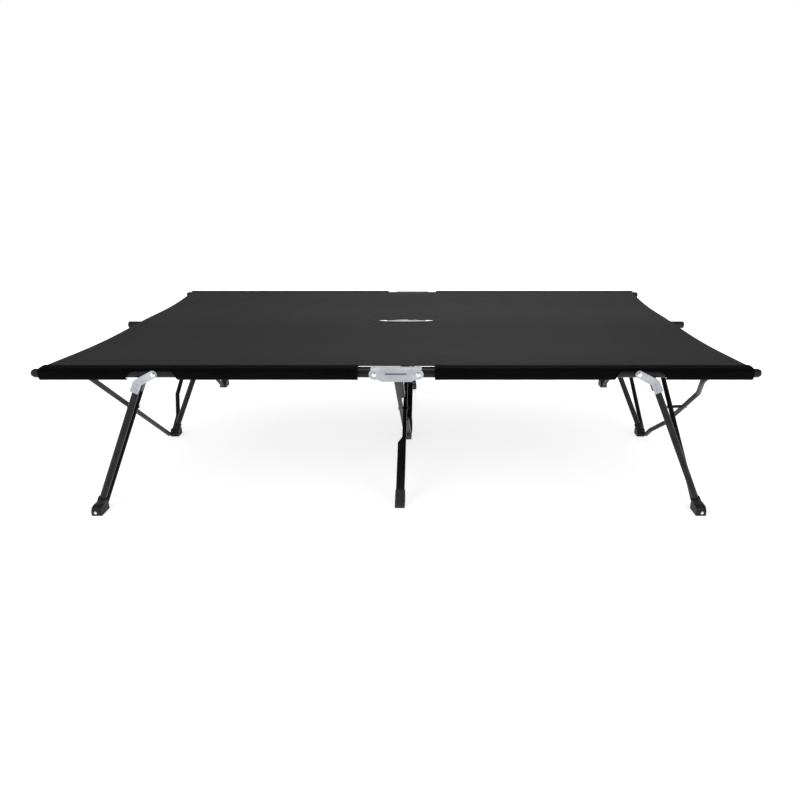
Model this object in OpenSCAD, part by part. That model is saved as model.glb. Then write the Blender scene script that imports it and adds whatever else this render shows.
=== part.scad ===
// Folding double camp bed: three rails, fabric bed, scissor legs. Millimetres, +Z up, origin bottom centre.

/* [View] */

/* [Main sizes] */
// from rail axis to rail axis
rail_gap = 600;
// height of the rail axis
rail_z = 434;
// half length of the steel tube of a rail
rail_x = 1008;
rail_d = 25;
rail_wall = 1.3;

/* [Centre bracket] */
rivet_x = 61;
cheek_in = 13.5;
cheek_t = 2;
bracket_r = 15;

/* [Scissor] */
// pivot to rail plane
pivot_off = 30.5;
// pin height of the centre legs below the rail axis
centre_pin_drop = 4;
// height between top pivot and foot, in the frame's plane
frame_h = 418.17;
leg_w = 26;
leg_t = 14;
bar_r = 8;
bar_wall = 1.2;

/* [End frames] */
hub_x = 884;
hub_tilt = 1.6443;
outer_bar_n = -17;
inner_bar_n = 1;
bend = 26;

/* [Legs] */
leg_rivet_x = 674;
knee_x = 722;
knee_drop = 26;
leg_tilt = 24.155;
leg_len = 438;
leg_r = 9.5;
foot_x = 896;

/* [Bed] */
bed_t = 1.3;
bed_under = 15.2;
bed_y = 588;
bed_x = 985;
sleeve_x = 990;
cut_x = 107;

/* [Running clearance] */
gap = 0.05;

$fn = 48;

span = rail_gap - 2 * pivot_off;
arm = sqrt(frame_h * frame_h + span * span);
spread = atan(span / frame_h);

// ---------- placing ----------
// left pieces as drawn, right pieces mirrored
module side(sx) { if (sx < 0) children(); else mirror([1, 0, 0]) children(); }
// -1 front, 0 middle, 1 back; +y points to the middle rail in the outer rows
module row(r) {
  if (r < 0) translate([0, -rail_gap, 0]) children();
  else if (r > 0) mirror([0, 1, 0]) translate([0, -rail_gap, 0]) children();
  else children();
}
module along_x(x0, x1, r) translate([x0, 0, 0]) rotate([0, 90, 0]) cylinder(r = r, h = x1 - x0);
module along_y(y0, y1, r) translate([0, y1, 0]) rotate([90, 0, 0]) cylinder(r = r, h = y1 - y0);
module plate_xz(y0, y1) translate([0, y1, 0]) rotate([90, 0, 0]) linear_extrude(y1 - y0) children();
module plate_yz(x0, x1) translate([x0, 0, 0]) rotate([90, 0, 90]) linear_extrude(x1 - x0) children();

// ---------- rails ----------
module rail_half(r, sx) row(r) side(sx) translate([0, 0, rail_z]) difference() {
  union() {
    along_x(-rail_x, -rivet_x - 5, rail_d / 2);
    translate([-rivet_x, 0, 0]) along_y(-10, 10, 12);
  }
  along_x(-rail_x - 1, -rivet_x - 34, rail_d / 2 - rail_wall);
  translate([-rivet_x, 0, 0]) along_y(-20, 20, 4 + gap);
  translate([-leg_rivet_x, 0, 0]) along_y(-20, 20, 4 + gap);
  translate([-hub_x, 0, 0]) along_y(-20, 20, 3 + gap);
}
module rail_plug(r, sx) row(r) side(sx) translate([0, 0, rail_z]) {
  translate([-rail_x - 7, 0, 0]) rotate([0, 90, 0]) cylinder(r1 = 9, r2 = 12.4, h = 7);
  along_x(-rail_x - 0.5, -rail_x + 18, rail_d / 2 - rail_wall - 0.1);
}

// ---------- centre brackets ----------
module cheek() {
  square([2 * rivet_x, 2 * bracket_r - 0.6], center = true);
  translate([-rivet_x, 0]) circle(bracket_r);
  translate([rivet_x, 0]) circle(bracket_r);
  polygon([[-54, -14], [-41, -21], [41, -21], [54, -14]]);
}
module pivot_lug(x0, x1) plate_yz(x0, x1) {
  translate([cheek_in + 0.5, -centre_pin_drop - 8.6]) square([pivot_off - cheek_in - 0.5, 17.2]);
  translate([pivot_off, -centre_pin_drop]) circle(9);
}
module pivot_fork() {
  pivot_lug(13.5, 16);
  pivot_lug(-16, -13.5);
  translate([0, pivot_off, -centre_pin_drop]) {
    along_x(-18, 18, 4);
    along_x(-18.2, -15.8, 6.5);
    along_x(15.8, 18.2, 6.5);
  }
}
module centre_bracket(r) row(r) translate([0, 0, rail_z]) {
  out = cheek_in + cheek_t;
  difference() {
    union() {
      plate_xz(-out, -cheek_in) cheek();
      plate_xz(cheek_in, out) cheek();
      translate([-rivet_x - 10, -out, 13]) cube([2 * rivet_x + 20, 2 * out, 1.7]);
    }
    // long groove in the cheek that faces out
    translate([-31, -out - 1, -1]) cube([60, 3.5, 5]);
    translate([0, -out + 3, 10]) cylinder(r = 2, h = 8);
  }
  for (x = [-rivet_x, rivet_x]) translate([x, 0, 0]) {
    along_y(-out - 1.5, out + 1.5, 4);
    along_y(-out - 1.8, -out + 0.4, 7);
    along_y(out - 0.4, out + 1.8, 7);
  }
  pivot_fork();
  if (r == 0) mirror([0, 1, 0]) pivot_fork();
}

// ---------- centre legs: outer ones start at an outer bracket, inner ones at the middle bracket ----------
module centre_leg_shape(hand) {
  a = arm / 2 - 135;
  difference() {
    union() {
      difference() {
        plate_xz(-leg_t / 2, leg_t / 2) polygon([[-hand * 13, 7], [hand * 13, 7], [hand * 13, -a], [-hand * 0.6, -a - 20],
          [-hand * 0.6, -arm + a + 20], [hand * 13, -arm + a], [hand * 13, -arm + 2], [-hand * 13, -arm + 2]]);
        translate([-11.5, -5.5, -a]) cube([23, 11, a - 16]);
        translate([-11.5, -5.5, -arm + 1]) cube([23, 11, a - 2]);
      }
      if (hand > 0) translate([0, 0, -arm / 2]) {
        along_x(-15, 15.4, 4);
        along_x(-15.4, -12.6, 7);
        along_x(13.4, 15.6, 7);
      }
    }
    along_x(-20, 20, 4 + gap);
    if (hand < 0) translate([0, 0, -arm / 2]) along_x(-20, 20, 4 + gap);
  }
}
module centre_leg(r, outer) row(r) {
  if (outer) translate([0, pivot_off, rail_z - centre_pin_drop]) rotate([spread, 0, 0]) centre_leg_shape(1);
  else translate([0, rail_gap - pivot_off, rail_z - centre_pin_drop]) rotate([-spread, 0, 0]) centre_leg_shape(-1);
}
// bottom point of the leg's axis is at [0, 0, 11.83]; the leg comes from -y
module cap_shape() {
  drop = rail_z - centre_pin_drop - frame_h;
  difference() {
    plate_yz(-15, 15) polygon([[-18, 0], [14, 0], [15, 8], [10, 16.5], [-25.5, 44.2], [-37.7, 28.4], [-26, 6]]);
    translate([0, 0, drop]) rotate([spread, 0, 0]) translate([-13.1, -7.1, 1.9]) cube([26.2, 14.2, 80]);
  }
}
module centre_cap(r, outer) row(r) {
  if (outer) translate([0, rail_gap - pivot_off, 0]) cap_shape();
  else translate([0, pivot_off, 0]) mirror([0, 1, 0]) cap_shape();
}

// ---------- legs at the ends ----------
module leg_frame() translate([-knee_x, 0, rail_z - knee_drop]) rotate([0, leg_tilt, 0]) children();
module leg_bracket(r, sx) row(r) side(sx) {
  translate([0, 0, rail_z]) {
    for (y = [-15, 13]) plate_xz(y, y + 2) {
      polygon([[-679, 9.5], [-729, -16], [-744.5, -49.4], [-724.2, -58.4], [-711.5, -32], [-669, -9.7]]);
      translate([-leg_rivet_x, 0]) circle(11);
    }
    translate([-leg_rivet_x, 0, 0]) {
      along_y(-17, 17, 4);
      along_y(-17.3, -14.8, 7.5);
      along_y(14.8, 17.3, 7.5);
    }
  }
  leg_frame() {
    translate([-12.5, -15, -30]) cube([2, 30, 30]);
    for (z = [-8, -22]) translate([0, 0, z]) {
      along_y(-16, 16, 3);
      along_y(-16.2, -14.8, 5);
      along_y(14.8, 16.2, 5);
    }
  }
}
module leg(r, sx) row(r) side(sx) leg_frame() difference() {
  translate([0, 0, -leg_len]) cylinder(r = leg_r, h = leg_len - 2);
  translate([0, 0, -leg_len - 1]) cylinder(r = leg_r - 1.3, h = leg_len + 2);
  for (z = [-8, -22]) translate([0, 0, z]) along_y(-20, 20, 3 + gap);
}
module foot(r, sx) row(r) side(sx) {
  front = r == 0 ? 19 : 30;
  difference() {
    union() {
      plate_yz(-foot_x - 15, -foot_x + 15)
        polygon([[-front, 0], [19, 0], [19, 20], [13, 27], [-15, 27], [5 - front, 23], [-front, 13]]);
      leg_frame() translate([0, 0, -leg_len + 8]) cylinder(r = 13, h = 32);
    }
    leg_frame() translate([0, 0, -leg_len - 0.1]) cylinder(r = leg_r + 0.1, h = 60);
    // hollow below the tube's end stays inside the block
  }
}

// ---------- end frames ----------
module hub_frame() translate([-hub_x, 0, rail_z]) rotate([0, hub_tilt, 0]) children();
module hub_arm(n0, n1) {
  plate_xz(13.2, 17.5) {
    circle(11);
    translate([min(n0, 0), -8.6]) square([max(n1, 0) - min(n0, 0), 17.2]);
  }
  plate_yz(n0, n1) {
    translate([13.2, -8.6]) square([pivot_off - 13.2, 17.2]);
    translate([pivot_off, 0]) circle(9);
  }
}
module outer_hub(r, sx) row(r) side(sx) hub_frame() {
  hub_arm(-30.5, -26);
  along_y(-15, 14, 3);
  along_y(-15.6, -13.2, 7);
  translate([0, pivot_off, 0]) {
    along_x(-28, -7.6, 3);
    along_x(-8.8, -7.4, 5);
  }
}
module middle_hub(sx) side(sx) hub_frame() {
  along_y(-14, 14, 3);
  for (m = [0, 1]) mirror([0, m, 0]) {
    hub_arm(10, 14.5);
    translate([0, pivot_off, 0]) {
      along_x(-8.6, 12, 3);
      along_x(-8.8, -7.4, 5);
    }
  }
}
module tube_down(s0, s1) translate([0, 0, -s1]) difference() {
  cylinder(r = bar_r, h = s1 - s0);
  translate([0, 0, -1]) cylinder(r = bar_r - bar_wall, h = s1 - s0 + 2);
}
module tube_between(a, b) {
  d = b - a;
  translate([a[0], 0, -a[1]]) rotate([0, atan2(-d[0], d[1]), 0]) translate([0, 0, -norm(d)]) cylinder(r = bar_r, h = norm(d));
}
// tube with its middle set outboard, path as [n, distance from the top pivot]
module bent_tube() {
  p = [[0, -8], [0, 0.14 * arm], [-bend, 0.30 * arm], [-bend, 0.77 * arm], [0, 0.92 * arm], [0, arm + 6]];
  difference() {
    union() {
      for (i = [0 : 4]) tube_between(p[i], p[i + 1]);
      for (i = [1 : 4]) translate([p[i][0], 0, -p[i][1]]) sphere(r = bar_r + 0.15);
    }
    translate([-bend, 0, -0.76 * arm]) cylinder(r = bar_r - bar_wall, h = 0.45 * arm);
  }
}
module outer_bar_shape(bent) {
  set = bent ? bend : 0;
  difference() {
    translate([outer_bar_n, 0, 0]) {
      if (bent) bent_tube();
      else tube_down(-8, arm + 6);
    }
    along_x(-40, 0, 3 + gap);
  }
  translate([0, 0, -arm / 2]) {
    along_x(-26 - set, 10.6, 3);
    along_x(-26.8 - set, -23.5 - set, 5.5);
    along_x(9.4, 11.2, 5.5);
    if (bent) along_x(-10.5 - set, -8, 5);
  }
}
module inner_bar_shape() difference() {
  translate([inner_bar_n, 0, 0]) tube_down(-8, arm + 6);
  along_x(-20, 20, 3 + gap);
  translate([0, 0, -arm / 2]) along_x(-20, 20, 3 + gap);
}
module outer_bar(r, sx, bent) row(r) side(sx) hub_frame() translate([0, pivot_off, 0]) rotate([spread, 0, 0]) outer_bar_shape(bent);
module inner_bar(r, sx) row(r) side(sx) hub_frame() translate([0, rail_gap - pivot_off, 0]) rotate([-spread, 0, 0]) inner_bar_shape();

// ---------- fabric ----------
module bed_half(sx) side(sx) translate([0, 0, rail_z + bed_under]) linear_extrude(bed_t) polygon(concat(
  [[0, bed_y - 5], [-cut_x, bed_y - 5], [-cut_x, bed_y]],
  [for (i = [0 : 12]) let (y = bed_y * (1 - i / 6)) [-bed_x + 28 * (1 - (y / bed_y) * (y / bed_y)), y]],
  [[-cut_x, -bed_y], [-cut_x, -bed_y + 5], [0, -bed_y + 5]],
  [for (i = [0 : 8]) let (x = -120 * i / 8) [x, -21 * (1 - pow(i / 8, 2.2))]],
  [for (i = [7 : -1 : 0]) let (x = -120 * i / 8) [x, 21 * (1 - pow(i / 8, 2.2))]]));
module sleeve(r, sx) row(r) side(sx) difference() {
  translate([0, 0, rail_z]) plate_yz(-sleeve_x, -cut_x) polygon([
    [12, 16.5], [-12, 16.5], [-17.5, 12], [-18.5, 4], [-17.5, -10], [-12, -16], [2, -16.5],
    [2, -15.2], [-11.4, -14.7], [-16.3, -9.4], [-17.2, 4], [-16.3, 11.2], [-11.4, 15.2], [12, 15.2]]);
  // opening round the leg bracket
  translate([0, 0, rail_z]) plate_xz(-30, 30) polygon([[-752, -20], [-607, -20], [-607, 3], [-619, 12.5], [-740, 12.5], [-752, 3]]);
}

// ---------- one module per node ----------
module bracket_front() centre_bracket(-1);
module bracket_middle() centre_bracket(0);
module bracket_back() centre_bracket(1);
module rail_front_left() rail_half(-1, -1);
module rail_front_right() rail_half(-1, 1);
module rail_middle_left() rail_half(0, -1);
module rail_middle_right() rail_half(0, 1);
module rail_back_left() rail_half(1, -1);
module rail_back_right() rail_half(1, 1);
module plug_front_left() rail_plug(-1, -1);
module plug_front_right() rail_plug(-1, 1);
module plug_back_left() rail_plug(1, -1);
module plug_back_right() rail_plug(1, 1);
module sleeve_front_left() sleeve(-1, -1);
module sleeve_front_right() sleeve(-1, 1);
module sleeve_back_left() sleeve(1, -1);
module sleeve_back_right() sleeve(1, 1);
module bed_left() bed_half(-1);
module bed_right() bed_half(1);
module centre_leg_front_outer() centre_leg(-1, true);
module centre_leg_front_inner() centre_leg(-1, false);
module centre_leg_back_outer() centre_leg(1, true);
module centre_leg_back_inner() centre_leg(1, false);
module cap_front_outer() centre_cap(-1, true);
module cap_front_inner() centre_cap(-1, false);
module cap_back_outer() centre_cap(1, true);
module cap_back_inner() centre_cap(1, false);
module leg_bracket_front_left() leg_bracket(-1, -1);
module leg_bracket_front_right() leg_bracket(-1, 1);
module leg_bracket_middle_left() leg_bracket(0, -1);
module leg_bracket_middle_right() leg_bracket(0, 1);
module leg_bracket_back_left() leg_bracket(1, -1);
module leg_bracket_back_right() leg_bracket(1, 1);
module leg_front_left() leg(-1, -1);
module leg_front_right() leg(-1, 1);
module leg_middle_left() leg(0, -1);
module leg_middle_right() leg(0, 1);
module leg_back_left() leg(1, -1);
module leg_back_right() leg(1, 1);
module foot_front_left() foot(-1, -1);
module foot_front_right() foot(-1, 1);
module foot_middle_left() foot(0, -1);
module foot_middle_right() foot(0, 1);
module foot_back_left() foot(1, -1);
module foot_back_right() foot(1, 1);
module hub_front_left() outer_hub(-1, -1);
module hub_front_right() outer_hub(-1, 1);
module hub_middle_left() middle_hub(-1);
module hub_middle_right() middle_hub(1);
module hub_back_left() outer_hub(1, -1);
module hub_back_right() outer_hub(1, 1);
module bar_front_left_outer() outer_bar(-1, -1, false);
module bar_front_left_inner() inner_bar(-1, -1);
module bar_back_left_outer() outer_bar(1, -1, true);
module bar_back_left_inner() inner_bar(1, -1);
module bar_front_right_outer() outer_bar(-1, 1, true);
module bar_front_right_inner() inner_bar(-1, 1);
module bar_back_right_outer() outer_bar(1, 1, false);
module bar_back_right_inner() inner_bar(1, 1);

bracket_front();
bracket_middle();
bracket_back();
rail_front_left();
rail_front_right();
rail_middle_left();
rail_middle_right();
rail_back_left();
rail_back_right();
plug_front_left();
plug_front_right();
plug_back_left();
plug_back_right();
sleeve_front_left();
sleeve_front_right();
sleeve_back_left();
sleeve_back_right();
bed_left();
bed_right();
centre_leg_front_outer();
centre_leg_front_inner();
centre_leg_back_outer();
centre_leg_back_inner();
cap_front_outer();
cap_front_inner();
cap_back_outer();
cap_back_inner();
leg_bracket_front_left();
leg_bracket_front_right();
leg_bracket_middle_left();
leg_bracket_middle_right();
leg_bracket_back_left();
leg_bracket_back_right();
leg_front_left();
leg_front_right();
leg_middle_left();
leg_middle_right();
leg_back_left();
leg_back_right();
foot_front_left();
foot_front_right();
foot_middle_left();
foot_middle_right();
foot_back_left();
foot_back_right();
hub_front_left();
hub_front_right();
hub_middle_left();
hub_middle_right();
hub_back_left();
hub_back_right();
bar_front_left_outer();
bar_front_left_inner();
bar_back_left_outer();
bar_back_left_inner();
bar_front_right_outer();
bar_front_right_inner();
bar_back_right_outer();
bar_back_right_inner();
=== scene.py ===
"""Folding double camp bed: fabric bed on three steel rails, scissor frames and splayed legs."""
import math

import bpy
from mathutils import Matrix, Vector


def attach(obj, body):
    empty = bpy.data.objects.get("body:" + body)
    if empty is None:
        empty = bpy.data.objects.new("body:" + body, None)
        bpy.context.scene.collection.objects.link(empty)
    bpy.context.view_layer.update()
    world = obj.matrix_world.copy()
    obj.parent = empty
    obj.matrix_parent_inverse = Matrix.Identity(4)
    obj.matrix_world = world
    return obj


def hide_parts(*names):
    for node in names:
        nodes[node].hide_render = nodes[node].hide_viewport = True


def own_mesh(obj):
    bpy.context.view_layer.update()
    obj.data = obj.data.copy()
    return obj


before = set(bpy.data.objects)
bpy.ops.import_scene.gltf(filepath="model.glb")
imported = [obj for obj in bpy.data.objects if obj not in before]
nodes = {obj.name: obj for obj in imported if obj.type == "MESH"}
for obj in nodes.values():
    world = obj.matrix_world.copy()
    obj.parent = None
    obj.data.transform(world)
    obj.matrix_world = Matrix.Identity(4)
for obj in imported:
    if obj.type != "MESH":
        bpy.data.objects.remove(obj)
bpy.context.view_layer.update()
bpy.ops.object.select_all(action="DESELECT")

SIDES = {"left": -1, "right": 1}
OUTER_ROWS = {"front": -1, "back": 1}

# --- Camera, lights and floor -------------------------------------------------
# A plain studio: eye height of a standing person, a pale flat floor, a white
# backdrop, and large soft lights.
CAMERA_AT = (0.116, -2.348, 0.972)
CAMERA_DOWN = math.radians(19.46)
camera_data = bpy.data.cameras.new("camera")
camera_data.sensor_width = 36.0
camera_data.lens = 29.475
camera_data.shift_x = -0.0475
camera = bpy.data.objects.new("camera", camera_data)
camera.location = CAMERA_AT
camera.rotation_euler = (math.pi / 2 - CAMERA_DOWN, 0, 0)
bpy.context.collection.objects.link(camera)
bpy.context.scene.camera = camera

for lamp_name, place, aim, size, watts in (
        ("lamp_top", (0.0, 0.3, 3.2), (0, 0, 0.3), 3.6, 30),
        ("lamp_back", (0.4, 3.2, 2.3), (0, 0.4, 0.4), 2.6, 22),
        ("lamp_front_left", (-2.6, -3.0, 2.0), (0, 0, 0.3), 2.2, 26),
        ("lamp_front_right", (2.8, -2.8, 1.5), (0, 0, 0.3), 2.2, 20)):
    lamp_data = bpy.data.lights.new(lamp_name, "AREA")
    lamp_data.size = size
    lamp_data.energy = watts
    lamp = bpy.data.objects.new(lamp_name, lamp_data)
    lamp.location = place
    lamp.rotation_euler = (Vector(aim) - Vector(place)).to_track_quat("-Z", "Y").to_euler()
    bpy.context.collection.objects.link(lamp)

studio = bpy.data.worlds.new("studio")
studio.use_nodes = True
studio_tree = studio.node_tree
soft_light = studio_tree.nodes["Background"]
soft_light.inputs["Color"].default_value = (1, 1, 1, 1)
soft_light.inputs["Strength"].default_value = 0.42
# the camera sees white; the object is lit by a softer white
backdrop = studio_tree.nodes.new("ShaderNodeBackground")
backdrop.inputs["Strength"].default_value = 1.0
backdrop.inputs["Color"].default_value = (1, 1, 1, 1)
seen_straight = studio_tree.nodes.new("ShaderNodeLightPath")
either = studio_tree.nodes.new("ShaderNodeMixShader")
studio_tree.links.new(seen_straight.outputs["Is Camera Ray"], either.inputs["Fac"])
studio_tree.links.new(soft_light.outputs["Background"], either.inputs[1])
studio_tree.links.new(backdrop.outputs["Background"], either.inputs[2])
studio_tree.links.new(either.outputs["Shader"], studio_tree.nodes["World Output"].inputs["Surface"])
bpy.context.scene.world = studio
bpy.context.scene.view_settings.view_transform = "Standard"

bpy.ops.mesh.primitive_plane_add(size=60, location=(0, 0, -0.0005))
floor = bpy.context.object
floor.name = "floor"
floor_paint = bpy.data.materials.new("floor_paint")
floor_paint.use_nodes = True
floor_shader = floor_paint.node_tree.nodes["Principled BSDF"]
floor_shader.inputs["Base Color"].default_value = (0.93, 0.93, 0.93, 1)
floor_shader.inputs["Roughness"].default_value = 0.9
floor_shader.inputs["Emission Color"].default_value = (1, 1, 1, 1)
floor_shader.inputs["Emission Strength"].default_value = 0.72
floor.data.materials.append(floor_paint)


# --- Rails and leg tubes: powder-coated steel ---------------------------------
# Round steel tube, 25 mm for the rails and thinner for legs and bars, cut,
# drilled and powder-coated black; the coat has a fine orange peel and rubs
# slightly shiny where hands and other tubes touch it.
def group_with(name, inputs, outputs):
    """An empty shader node group with named sockets."""
    group = bpy.data.node_groups.new(name, "ShaderNodeTree")
    for label, kind, value in inputs:
        socket = group.interface.new_socket(name=label, in_out="INPUT", socket_type=kind)
        socket.default_value = value
    for label, kind in outputs:
        group.interface.new_socket(name=label, in_out="OUTPUT", socket_type=kind)
    return group, group.nodes.new("NodeGroupInput"), group.nodes.new("NodeGroupOutput")


def noise_in(tree, place, scale_from, detail, stretch=(1, 1, 1)):
    """A noise texture on Object coordinates, its scale taken from a socket or a number."""
    mapping = tree.nodes.new("ShaderNodeMapping")
    mapping.inputs["Scale"].default_value = stretch
    noise = tree.nodes.new("ShaderNodeTexNoise")
    noise.inputs["Detail"].default_value = detail
    tree.links.new(place, mapping.inputs["Vector"])
    tree.links.new(mapping.outputs["Vector"], noise.inputs["Vector"])
    if isinstance(scale_from, (int, float)):
        noise.inputs["Scale"].default_value = scale_from
    else:
        tree.links.new(scale_from, noise.inputs["Scale"])
    return noise


# surface_grain: fine noise for the skin of a coat or moulding, and slow noise
# for handling marks. Puts out colour, roughness and height.
surface_grain, grain_in, grain_out = group_with(
    "surface_grain",
    [("Base", "NodeSocketColor", (0.02, 0.02, 0.02, 1)),
     ("Rubbed", "NodeSocketColor", (0.05, 0.05, 0.05, 1)),
     ("Grain Scale", "NodeSocketFloat", 900.0), ("Mark Scale", "NodeSocketFloat", 14.0),
     ("Rough Low", "NodeSocketFloat", 0.4), ("Rough High", "NodeSocketFloat", 0.6)],
    [("Color", "NodeSocketColor"), ("Roughness", "NodeSocketFloat"), ("Height", "NodeSocketFloat")])
grain_place = surface_grain.nodes.new("ShaderNodeTexCoord")
skin = noise_in(surface_grain, grain_place.outputs["Object"], grain_in.outputs["Grain Scale"], 2.0)
marks = noise_in(surface_grain, grain_place.outputs["Object"], grain_in.outputs["Mark Scale"], 6.0)
mark_ramp = surface_grain.nodes.new("ShaderNodeMapRange")
mark_ramp.inputs["From Min"].default_value = 0.45
mark_ramp.inputs["From Max"].default_value = 0.75
surface_grain.links.new(marks.outputs["Fac"], mark_ramp.inputs["Value"])
grain_mix = surface_grain.nodes.new("ShaderNodeMix")
grain_mix.data_type = "RGBA"
surface_grain.links.new(mark_ramp.outputs["Result"], grain_mix.inputs["Factor"])
surface_grain.links.new(grain_in.outputs["Base"], grain_mix.inputs[6])
surface_grain.links.new(grain_in.outputs["Rubbed"], grain_mix.inputs[7])
grain_rough = surface_grain.nodes.new("ShaderNodeMapRange")
surface_grain.links.new(marks.outputs["Fac"], grain_rough.inputs["Value"])
surface_grain.links.new(grain_in.outputs["Rough High"], grain_rough.inputs["To Min"])
surface_grain.links.new(grain_in.outputs["Rough Low"], grain_rough.inputs["To Max"])
surface_grain.links.new(grain_mix.outputs[2], grain_out.inputs["Color"])
surface_grain.links.new(grain_rough.outputs["Result"], grain_out.inputs["Roughness"])
surface_grain.links.new(skin.outputs["Fac"], grain_out.inputs["Height"])


def grained(name, base, rubbed, grain, mark, rough, bump_depth, metallic=0.0, shine=0.5):
    """A material whose colour, roughness and bump come from surface_grain."""
    material = bpy.data.materials.new(name)
    material.use_nodes = True
    tree = material.node_tree
    shader = tree.nodes["Principled BSDF"]
    shader.inputs["Metallic"].default_value = metallic
    shader.inputs["Specular IOR Level"].default_value = shine
    use = tree.nodes.new("ShaderNodeGroup")
    use.node_tree = surface_grain
    use.inputs["Base"].default_value = (*base, 1)
    use.inputs["Rubbed"].default_value = (*rubbed, 1)
    use.inputs["Grain Scale"].default_value = grain
    use.inputs["Mark Scale"].default_value = mark
    use.inputs["Rough Low"].default_value, use.inputs["Rough High"].default_value = rough
    bump = tree.nodes.new("ShaderNodeBump")
    bump.inputs["Strength"].default_value = 0.35
    bump.inputs["Distance"].default_value = bump_depth
    tree.links.new(use.outputs["Color"], shader.inputs["Base Color"])
    tree.links.new(use.outputs["Roughness"], shader.inputs["Roughness"])
    tree.links.new(use.outputs["Height"], bump.inputs["Height"])
    tree.links.new(bump.outputs["Normal"], shader.inputs["Normal"])
    return material


powder_coat = grained("powder_coat", (0.006, 0.006, 0.007), (0.015, 0.015, 0.016),
                      grain=1400, mark=22, rough=(0.30, 0.46), bump_depth=0.0002, shine=0.2)


def finish_nodes(material, soften, *names):
    """Give CAD nodes their material and, where soften is set, rounded edges."""
    for name in names:
        part = nodes[name]
        for place in part.material_slots:
            place.material = material
        if soften:
            weld = part.modifiers.new("weld", "WELD")
            weld.merge_threshold = 0.00002
            round_edges = part.modifiers.new("round_edges", "BEVEL")
            round_edges.width = soften
            round_edges.segments = 2
            round_edges.limit_method = "ANGLE"
            round_edges.angle_limit = math.radians(40)


black_tubes = [name for name in nodes
               if name.startswith(("rail_", "bar_", "centre_leg_")) or
               (name.startswith("leg_") and not name.startswith("leg_bracket"))]
finish_nodes(powder_coat, 0, *black_tubes)

# --- Brackets: zinc-plated pressings ------------------------------------------
# Steel sheet, pressed into channels over the rails and over the tops of the
# legs, zinc plated; held by round-headed rivets that are also the pivots.
zinc = grained("zinc", (0.36, 0.38, 0.41), (0.48, 0.50, 0.52),
               grain=500, mark=30, rough=(0.26, 0.42), bump_depth=0.00015, metallic=0.85)
brackets = [name for name in nodes if name.startswith(("bracket_", "leg_bracket_"))]
finish_nodes(zinc, 0, *brackets)

rivet_steel = grained("rivet_steel", (0.70, 0.71, 0.73), (0.85, 0.85, 0.86),
                      grain=700, mark=60, rough=(0.18, 0.32), bump_depth=0.0001, metallic=0.95)


def place_piece(piece, material, body):
    """Material, body and finish slot of a finished piece."""
    piece.data.materials.clear()
    piece.data.materials.append(material)
    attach(piece, body)


def round_head(name, at, facing, radius, height):
    """A rivet head: a disc drawn up in two steps to a low dome, turned to face outwards."""
    bpy.ops.object.select_all(action="DESELECT")
    bpy.ops.mesh.primitive_cylinder_add(vertices=28, radius=radius, depth=height * 0.4,
                                        location=(0, 0, height * 0.2))
    head = bpy.context.object
    head.name = name
    bpy.ops.object.mode_set(mode="EDIT")
    bpy.ops.mesh.select_mode(type="FACE")
    bpy.ops.mesh.select_all(action="DESELECT")
    bpy.ops.object.mode_set(mode="OBJECT")
    for face in head.data.polygons:
        face.select = face.normal.z > 0.9
    bpy.ops.object.mode_set(mode="EDIT")
    for shrink, rise in ((0.84, 0.3), (0.72, 0.2), (0.5, 0.1)):
        bpy.ops.mesh.extrude_region_move(TRANSFORM_OT_translate={"value": (0, 0, height * rise)})
        bpy.ops.transform.resize(value=(shrink, shrink, 1), center_override=(0, 0, 0))
    bpy.ops.object.mode_set(mode="OBJECT")
    settle = Matrix.Translation(Vector(at)) @ Vector(facing).to_track_quat("Z", "Y").to_matrix().to_4x4()
    head.data.transform(settle @ head.matrix_basis)
    head.matrix_basis = Matrix.Identity(4)
    bpy.ops.object.shade_smooth_by_angle(angle=math.radians(40))
    return head


RAIL_Y = 0.600
RAIL_Z = 0.434
BRACKET_RIVET_X = 0.061
BRACKET_FACE = 0.0173
LEG_BRACKET_FACE = 0.0169
for row, way in OUTER_ROWS.items():
    for side, hand in SIDES.items():
        head = round_head(f"bracket_rivet_{row}_{side}",
                          (hand * BRACKET_RIVET_X, way * (RAIL_Y + BRACKET_FACE - 0.0004), RAIL_Z),
                          (0, way, 0), 0.0066, 0.0026)
        place_piece(head, rivet_steel, f"{row}_bracket")

LEG_RIVET_X = 0.674
for row, way in OUTER_ROWS.items():
    for side, hand in SIDES.items():
        head = round_head(f"leg_rivet_{row}_{side}",
                          (hand * LEG_RIVET_X, way * (RAIL_Y + LEG_BRACKET_FACE), RAIL_Z),
                          (0, way, 0), 0.0068, 0.0028)
        place_piece(head, rivet_steel, f"leg_{row}_{side}")

# --- Plastic parts: plugs, hubs and feet --------------------------------------
# Injection-moulded black plastic with a light spark-eroded grain: the plugs in
# the rail ends, the hubs that carry the end bars, and the foot blocks.
moulded = grained("moulded_plastic", (0.008, 0.008, 0.009), (0.019, 0.019, 0.020),
                  grain=1900, mark=18, rough=(0.44, 0.64), bump_depth=0.0003, shine=0.22)
plastic_parts = [name for name in nodes if name.startswith(("plug_", "hub_", "foot_"))]
finish_nodes(moulded, 0.0009, *plastic_parts)


for side, hand in SIDES.items():
    end_disc = round_head(f"plug_middle_{side}", (hand * 1.0078, 0, RAIL_Z), (hand, 0, 0), 0.0122, 0.006)
    place_piece(end_disc, moulded, f"middle_rail_{side}")

FOOT_X = 0.896
FOOT_FACE = 0.0285
for row, way in OUTER_ROWS.items():
    for side, hand in SIDES.items():
        head = round_head(f"foot_rivet_{row}_{side}",
                          (hand * (FOOT_X + 0.003), way * (RAIL_Y + FOOT_FACE), 0.0095),
                          (0, way, 0.05), 0.0048, 0.0026)
        place_piece(head, rivet_steel, f"leg_{row}_{side}")

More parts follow.
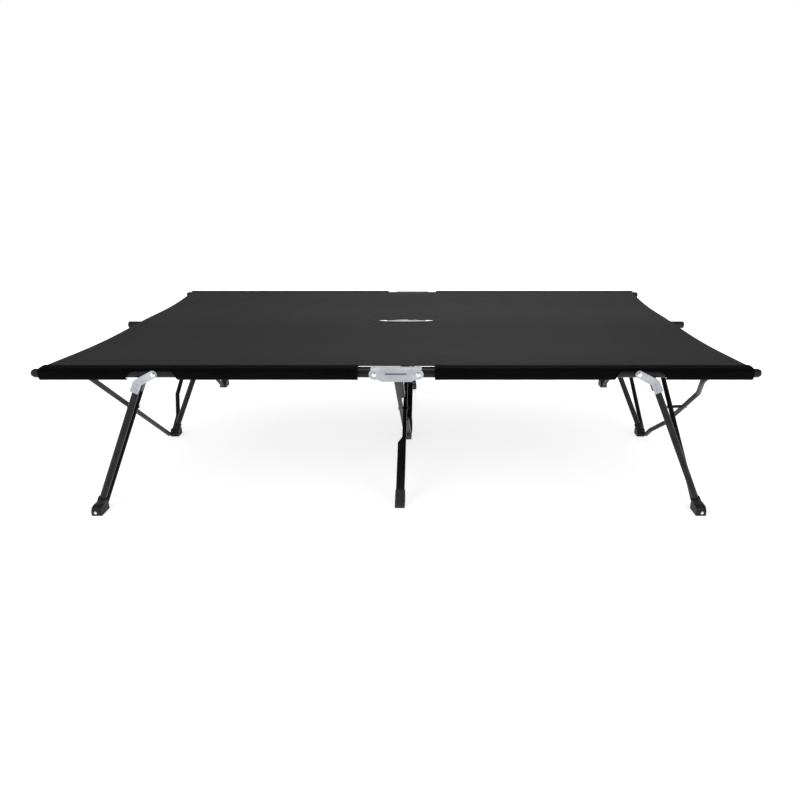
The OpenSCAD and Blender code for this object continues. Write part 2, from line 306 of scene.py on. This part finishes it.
# --- Rubber caps of the centre legs -------------------------------------------
# Moulded rubber boots pushed over the ends of the flat-oval centre legs.
rubber = grained("boot_rubber", (0.020, 0.020, 0.021), (0.042, 0.042, 0.043),
                 grain=1200, mark=25, rough=(0.62, 0.82), bump_depth=0.0004)
finish_nodes(rubber, 0.0016, *[name for name in nodes if name.startswith("cap_")])

# --- Bed cloth ----------------------------------------------------------------
# Heavy plain-woven polyester, dark grey, stretched between the outer rails and
# lying on the middle one; hemmed at the head and foot ends, with a bound slot
# over the middle bracket. Cut in one piece; here each half rides on its rail.
weave, weave_in, weave_out = group_with(
    "plain_weave",
    [("Thread", "NodeSocketColor", (0.05, 0.05, 0.05, 1)),
     ("Gap", "NodeSocketColor", (0.02, 0.02, 0.02, 1)),
     ("Worn", "NodeSocketColor", (0.07, 0.07, 0.07, 1)), ("Thread Scale", "NodeSocketFloat", 260.0),
     ("Rough Low", "NodeSocketFloat", 0.6), ("Rough High", "NodeSocketFloat", 0.8)],
    [("Color", "NodeSocketColor"), ("Roughness", "NodeSocketFloat"), ("Height", "NodeSocketFloat")])
weave_place = weave.nodes.new("ShaderNodeTexCoord")
thread_waves = []
for direction in ("X", "Y"):
    wave = weave.nodes.new("ShaderNodeTexWave")
    wave.wave_type = "BANDS"
    wave.bands_direction = direction
    wave.inputs["Distortion"].default_value = 0.4
    wave.inputs["Detail"].default_value = 1.0
    weave.links.new(weave_place.outputs["Object"], wave.inputs["Vector"])
    weave.links.new(weave_in.outputs["Thread Scale"], wave.inputs["Scale"])
    thread_waves.append(wave)
thread_height = weave.nodes.new("ShaderNodeMath")
thread_height.operation = "MULTIPLY"
weave.links.new(thread_waves[0].outputs["Fac"], thread_height.inputs[0])
weave.links.new(thread_waves[1].outputs["Fac"], thread_height.inputs[1])
slubs = noise_in(weave, weave_place.outputs["Object"], 9.0, 5.0, stretch=(1, 2.2, 1))
thread_mix = weave.nodes.new("ShaderNodeMix")
thread_mix.data_type = "RGBA"
weave.links.new(thread_height.outputs["Value"], thread_mix.inputs["Factor"])
weave.links.new(weave_in.outputs["Gap"], thread_mix.inputs[6])
weave.links.new(weave_in.outputs["Thread"], thread_mix.inputs[7])
slub_range = weave.nodes.new("ShaderNodeMapRange")
slub_range.inputs["From Min"].default_value = 0.4
slub_range.inputs["From Max"].default_value = 0.8
slub_range.inputs["To Max"].default_value = 0.5
weave.links.new(slubs.outputs["Fac"], slub_range.inputs["Value"])
worn_mix = weave.nodes.new("ShaderNodeMix")
worn_mix.data_type = "RGBA"
weave.links.new(slub_range.outputs["Result"], worn_mix.inputs["Factor"])
weave.links.new(thread_mix.outputs[2], worn_mix.inputs[6])
weave.links.new(weave_in.outputs["Worn"], worn_mix.inputs[7])
weave_rough = weave.nodes.new("ShaderNodeMapRange")
weave.links.new(slubs.outputs["Fac"], weave_rough.inputs["Value"])
weave.links.new(weave_in.outputs["Rough Low"], weave_rough.inputs["To Min"])
weave.links.new(weave_in.outputs["Rough High"], weave_rough.inputs["To Max"])
weave.links.new(worn_mix.outputs[2], weave_out.inputs["Color"])
weave.links.new(weave_rough.outputs["Result"], weave_out.inputs["Roughness"])
weave.links.new(thread_height.outputs["Value"], weave_out.inputs["Height"])


def woven(name, thread, gap_colour, worn, thread_scale, rough, sheen, shine):
    """A cloth material from plain_weave."""
    material = bpy.data.materials.new(name)
    material.use_nodes = True
    tree = material.node_tree
    shader = tree.nodes["Principled BSDF"]
    shader.inputs["Sheen Weight"].default_value = sheen
    shader.inputs["Sheen Roughness"].default_value = 0.45
    shader.inputs["Specular IOR Level"].default_value = shine
    use = tree.nodes.new("ShaderNodeGroup")
    use.node_tree = weave
    use.inputs["Thread"].default_value = (*thread, 1)
    use.inputs["Gap"].default_value = (*gap_colour, 1)
    use.inputs["Worn"].default_value = (*worn, 1)
    use.inputs["Thread Scale"].default_value = thread_scale
    use.inputs["Rough Low"].default_value, use.inputs["Rough High"].default_value = rough
    bump = tree.nodes.new("ShaderNodeBump")
    bump.inputs["Strength"].default_value = 0.4
    bump.inputs["Distance"].default_value = 0.0004
    tree.links.new(use.outputs["Color"], shader.inputs["Base Color"])
    tree.links.new(use.outputs["Roughness"], shader.inputs["Roughness"])
    tree.links.new(use.outputs["Height"], bump.inputs["Height"])
    tree.links.new(bump.outputs["Normal"], shader.inputs["Normal"])
    return material


bed_weave = woven("bed_weave", (0.022, 0.022, 0.023), (0.014, 0.014, 0.015), (0.026, 0.026, 0.027),
                  thread_scale=230, rough=(0.66, 0.82), sheen=0.02, shine=0.12)
CLOTH_THICK = 0.0013
BED_UNDER = 0.4492
BED_HALF_X = 0.985
BED_EDGE_PULL = 0.028
BED_HALF_Y = 0.588
SLOT_HALF_X = 0.120
SLOT_HALF_Y = 0.021
BED_SAG = 0.005
HEM_WIDTH = 0.024
NOTCH_X = 0.107
NOTCH_Y = 0.005


def slot_edge(x):
    """Half width of the centre slot at a distance x from the middle."""
    return SLOT_HALF_Y * (1 - (x / SLOT_HALF_X) ** 2.2) if x < SLOT_HALF_X else 0.0


def bed_height(x, y):
    """Underside of the cloth: slack between the rails, pulled flat at them, ridged at the hem."""
    across = math.sin(math.pi * min(abs(y) / RAIL_Y, 1.0)) ** 2
    pull = 0.0006 * math.sin(38 * x + 9 * y) * across
    edge = BED_HALF_X - BED_EDGE_PULL * (1 - (y / BED_HALF_Y) ** 2)
    from_edge = edge - x
    hem = 0.0009 if from_edge < HEM_WIDTH else -0.0004 if from_edge < HEM_WIDTH + 0.004 else 0.0
    return BED_UNDER - BED_SAG * across + pull + hem


def sheet_mesh(name, columns):
    """A grid mesh from columns of points, faces upwards when columns run out from the middle."""
    points = [point for column in columns for point in column]
    tall = len(columns[0])
    faces = [(a * tall + b, (a + 1) * tall + b, (a + 1) * tall + b + 1, a * tall + b + 1)
             for a in range(len(columns) - 1) for b in range(tall - 1)]
    mesh = bpy.data.meshes.new(name)
    mesh.from_pydata(points, [], faces)
    piece = bpy.data.objects.new(name, mesh)
    bpy.context.collection.objects.link(piece)
    return piece


def tidy_sheet(piece, thick, lift):
    """Merge, turn outwards, thicken and smooth a sheet."""
    bpy.ops.object.select_all(action="DESELECT")
    piece.select_set(True)
    bpy.context.view_layer.objects.active = piece
    bpy.ops.object.mode_set(mode="EDIT")
    bpy.ops.mesh.select_all(action="SELECT")
    bpy.ops.mesh.remove_doubles(threshold=0.00005)
    bpy.ops.mesh.normals_make_consistent(inside=False)
    bpy.ops.object.mode_set(mode="OBJECT")
    up = sum(face.normal.z * face.area for face in piece.data.polygons)
    if up < 0:
        piece.data.flip_normals()
    thicken = piece.modifiers.new("thicken", "SOLIDIFY")
    thicken.thickness = thick
    thicken.offset = lift
    bpy.ops.object.modifier_apply(modifier="thicken")
    bpy.ops.object.shade_smooth_by_angle(angle=math.radians(50))


def bed_columns(hand):
    """Columns of points for one half of the bed, front edge to back edge."""
    stops = [i / 14 * SLOT_HALF_X for i in range(15)]
    stops += [SLOT_HALF_X + i / 60 * (BED_HALF_X - SLOT_HALF_X) for i in range(1, 57)]
    plain = len(stops)
    columns = []
    for index in range(plain + 9):
        column = []
        for way in (-1, 1):
            rows = range(41) if way < 0 else range(40, -1, -1)
            for row_index in rows:
                share = row_index / 40
                if index < plain:
                    share_x = stops[index] / BED_HALF_X
                else:
                    last = stops[-1] / BED_HALF_X
                    share_x = last + (1 - last) * (index - plain + 1) / 9
                rough_y = BED_HALF_Y * (1 - share)
                pull_in = BED_EDGE_PULL * (1 - (rough_y / BED_HALF_Y) ** 2) * share_x ** 6
                x = BED_HALF_X * share_x - pull_in
                outer = BED_HALF_Y - (NOTCH_Y if x < NOTCH_X else 0.0)
                inner = slot_edge(x)
                y = inner + (outer - inner) * (1 - share)
                column.append((hand * x, way * y, bed_height(x, y)))
        columns.append(column)
    return columns


def ride_bed(piece, side):
    """Carried by a middle rail half."""
    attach(piece, f"middle_rail_{side}")
    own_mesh(piece)


for side, hand in SIDES.items():
    columns = bed_columns(hand)
    tall = len(columns[0])
    # front and back panels stay apart in the slot and join beyond it
    cloth = sheet_mesh(f"bed_cloth_{side}", columns)
    open_faces = [face.index for face in cloth.data.polygons
                  if (face.vertices[0] % tall) == tall // 2 - 1]
    bpy.ops.object.select_all(action="DESELECT")
    cloth.select_set(True)
    bpy.context.view_layer.objects.active = cloth
    bpy.ops.object.mode_set(mode="EDIT")
    bpy.ops.mesh.select_mode(type="FACE")
    bpy.ops.mesh.select_all(action="DESELECT")
    bpy.ops.object.mode_set(mode="OBJECT")
    for index in open_faces:
        cloth.data.polygons[index].select = True
    bpy.ops.object.mode_set(mode="EDIT")
    bpy.ops.mesh.delete(type="ONLY_FACE")
    bpy.ops.object.mode_set(mode="OBJECT")
    tidy_sheet(cloth, CLOTH_THICK, 1)
    cloth.data.materials.append(bed_weave)
    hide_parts(f"bed_{side}")
    ride_bed(cloth, side)

# Slot binding: a folded tape sewn round the slot's edge.
binding_tape = woven("binding_tape", (0.016, 0.016, 0.017), (0.008, 0.008, 0.009), (0.022, 0.022, 0.023),
                     thread_scale=420, rough=(0.55, 0.7), sheen=0.02, shine=0.15)
TAPE_WIDE = 0.013
TAPE_HIGH = 0.0011
for side, hand in SIDES.items():
    rim = []
    for i in range(-18, 19):
        x = SLOT_HALF_X * (1 - (abs(i) / 18) ** 1.6)
        y = math.copysign(slot_edge(x), i) if i else 0.0
        rim.append(Vector((x, y)))
    sections = []
    for i, point in enumerate(rim):
        along = rim[min(i + 1, len(rim) - 1)] - rim[max(i - 1, 0)]
        away = Vector((along.y, -along.x)).normalized()
        if away.dot(point - Vector((0.02, 0))) < 0:
            away = -away
        section = []
        for out, up in ((-0.0014, -0.0008), (-0.0014, 0.0016), (0.003, CLOTH_THICK + TAPE_HIGH),
                        (TAPE_WIDE, CLOTH_THICK + TAPE_HIGH), (TAPE_WIDE + 0.0008, CLOTH_THICK - 0.0004)):
            spot = point + away * out
            spot.x = max(spot.x, 0.0)
            section.append((hand * spot.x, spot.y, bed_height(abs(spot.x), spot.y) + up))
        sections.append(section)
    tape = sheet_mesh(f"slot_binding_{side}", sections)
    tidy_sheet(tape, 0.0006, -1)
    tape.data.materials.append(binding_tape)
    ride_bed(tape, side)


# Sewing thread: short stitches along the hems and along the rail seams.
def stitch_row(name, path, pitch, material):
    """One mesh of small bars laid along a path on top of the cloth."""
    half_wide, half_high = 0.0004, 0.0003
    points, faces = [], []
    carried = 0.0
    for start, end in zip(path, path[1:]):
        run = (end - start).length
        ahead = (end - start) / run if run else Vector((1, 0, 0))
        across = ahead.cross(Vector((0, 0, 1))).normalized() * half_wide
        up = Vector((0, 0, half_high))
        while carried < run:
            first = start + ahead * carried
            last = first + ahead * min(pitch * 0.66, run - carried)
            base = len(points)
            for spot, size in ((first, 0.4), (first + (last - first) * 0.5, 1.0), (last, 0.4)):
                points += [spot - across * size, spot + up * size + up, spot + across * size]
            for step in (0, 3):
                faces += [(base + step, base + step + 1, base + step + 4, base + step + 3),
                          (base + step + 1, base + step + 2, base + step + 5, base + step + 4),
                          (base + step + 2, base + step, base + step + 3, base + step + 5)]
            faces += [(base + 2, base + 1, base), (base + 6, base + 7, base + 8)]
            carried += pitch
        carried -= run
    mesh = bpy.data.meshes.new(name)
    mesh.from_pydata([tuple(point) for point in points], [], faces)
    row = bpy.data.objects.new(name, mesh)
    bpy.context.collection.objects.link(row)
    bpy.ops.object.select_all(action="DESELECT")
    row.select_set(True)
    bpy.context.view_layer.objects.active = row
    bpy.ops.object.mode_set(mode="EDIT")
    bpy.ops.mesh.select_all(action="SELECT")
    bpy.ops.mesh.normals_make_consistent(inside=False)
    bpy.ops.object.mode_set(mode="OBJECT")
    row.data.materials.append(material)
    return row


sewing_thread = woven("sewing_thread", (0.040, 0.040, 0.042), (0.022, 0.022, 0.023), (0.05, 0.05, 0.052),
                      thread_scale=900, rough=(0.45, 0.6), sheen=0.05, shine=0.3)
STITCH_PITCH = 0.0065
for side, hand in SIDES.items():
    for label, inset in (("outer", 0.004), ("inner", HEM_WIDTH - 0.003)):
        path = []
        for i in range(61):
            y = (BED_HALF_Y - 0.004) * (i / 30 - 1)
            x = BED_HALF_X - BED_EDGE_PULL * (1 - (y / BED_HALF_Y) ** 2) - inset
            path.append(Vector((hand * x, y, bed_height(x, y) + CLOTH_THICK)))
        row = stitch_row(f"hem_stitches_{label}_{side}", path, STITCH_PITCH, sewing_thread)
        ride_bed(row, side)

# --- Rail sleeves -------------------------------------------------------------
# The bed's long edges are sewn into sleeves for the outer rails. Their cloth is the bed's weave
# painted far darker: painted shade for the sleeves' shaded faces. Each is cut away over the centre
# bracket and, in an arch, round the leg bracket, and the cut edges are hemmed.
sleeve_weave_painted_shade = woven("sleeve_weave_painted_shade", (0.0040, 0.0040, 0.0042), (0.002, 0.002, 0.0022),
                     (0.006, 0.006, 0.0062), thread_scale=230, rough=(0.66, 0.8), sheen=0.0, shine=0.02)
SLEEVE_END = 0.990
SLEEVE_START = NOTCH_X
ARCH_FROM, ARCH_TO = 0.607, 0.752
# section round the rail: distance towards the middle, height over the rail axis
SLEEVE_SECTION = [(0.021, 0.0170), (0.012, 0.0172), (0.000, 0.0170), (-0.0090, 0.0164),
                  (-0.0135, 0.0142), (-0.0165, 0.0105), (-0.0180, 0.0060), (-0.0182, 0.0010),
                  (-0.0179, -0.0040), (-0.0168, -0.0095), (-0.0145, -0.0138), (-0.0105, -0.0160),
                  (-0.0040, -0.0166), (0.002, -0.0166)]
ARCH_CROWN = 4.6
SLEEVE_THICK = 0.0011
END_HEM = 0.016
SEAM_IN, SEAM_UP = 0.018, 0.0177


def along_section(reach):
    """Point on the sleeve's section at a distance counted in its own corners."""
    index = min(int(reach), len(SLEEVE_SECTION) - 2)
    share = reach - index
    near, far = SLEEVE_SECTION[index], SLEEVE_SECTION[index + 1]
    return near[0] + (far[0] - near[0]) * share, near[1] + (far[1] - near[1]) * share


def sleeve_reach(x):
    """How far round the rail the sleeve goes at x: all the way, or up to the arch's edge."""
    whole = len(SLEEVE_SECTION) - 1
    middle = (ARCH_FROM + ARCH_TO) / 2
    half = (ARCH_TO - ARCH_FROM) / 2
    off = abs(x - middle) / half
    if off >= 1:
        return whole
    return whole - (whole - ARCH_CROWN) * min(1.0, 1.35 * math.sqrt(1 - off ** 3))


for row, way in OUTER_ROWS.items():
    for side, hand in SIDES.items():
        stops = [SLEEVE_START + (SLEEVE_END - SLEEVE_START) * i / 130 for i in range(131)]
        stops += [ARCH_FROM + 0.0003, ARCH_TO - 0.0003, ARCH_FROM + 0.002, ARCH_TO - 0.002]
        sections = []
        for x in sorted(stops):
            reach = sleeve_reach(x)
            section = []
            for i in range(27):
                inward, up = along_section(reach * i / 26)
                from_end = min(x - SLEEVE_START, SLEEVE_END - x)
                swell = 0.0007 if from_end < END_HEM else 0.0003 * math.sin(61 * x + 5 * way) * (i > 4)
                inward -= swell if i > 4 else 0.0
                up += swell if i < 5 else 0.0
                section.append((hand * x, way * (RAIL_Y - inward), RAIL_Z + up))
            sections.append(section)
        sleeve = sheet_mesh(f"rail_sleeve_{row}_{side}", sections)
        tidy_sheet(sleeve, SLEEVE_THICK, 0)
        sleeve.data.materials.append(sleeve_weave_painted_shade)
        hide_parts(f"sleeve_{row}_{side}")
        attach(sleeve, f"{row}_rail_{side}")
        seam = [Vector((hand * x, way * (RAIL_Y - SEAM_IN), RAIL_Z + SEAM_UP))
                for x in (SLEEVE_START, SLEEVE_END)]
        stitches = stitch_row(f"rail_seam_{row}_{side}", seam, STITCH_PITCH, sewing_thread)
        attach(stitches, f"{row}_rail_{side}")

# --- Inner flaps: painted shade -----------------------------------------------
# A strip of the same darkened cloth goes down behind the outer rails: a painted-shade sheet
# filling the space under the bed wherever the sleeve is cut away. Its top stays under the bed.
FLAP_BEHIND = 0.0190
FLAP_START = 0.063
FLAP_TOP, FLAP_LOW = 0.0129, -0.0150
FLAP_THICK = 0.0009
FLAP_RIPPLE = 0.0006
for row, way in OUTER_ROWS.items():
    for side, hand in SIDES.items():
        strips = []
        for i in range(41):
            x = FLAP_START + (SLEEVE_END - FLAP_START) * i / 40
            ripple = FLAP_RIPPLE * math.sin(47 * x)
            strips.append([(hand * x, way * (RAIL_Y - FLAP_BEHIND - ripple * (j > 1)),
                            RAIL_Z + FLAP_TOP + (FLAP_LOW - FLAP_TOP) * j / 8) for j in range(9)])
        shade_flap = sheet_mesh(f"rail_shade_flap_{row}_{side}", strips)
        tidy_sheet(shade_flap, FLAP_THICK, 0)
        shade_flap.data.materials.append(sleeve_weave_painted_shade)
        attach(shade_flap, f"{row}_rail_{side}")
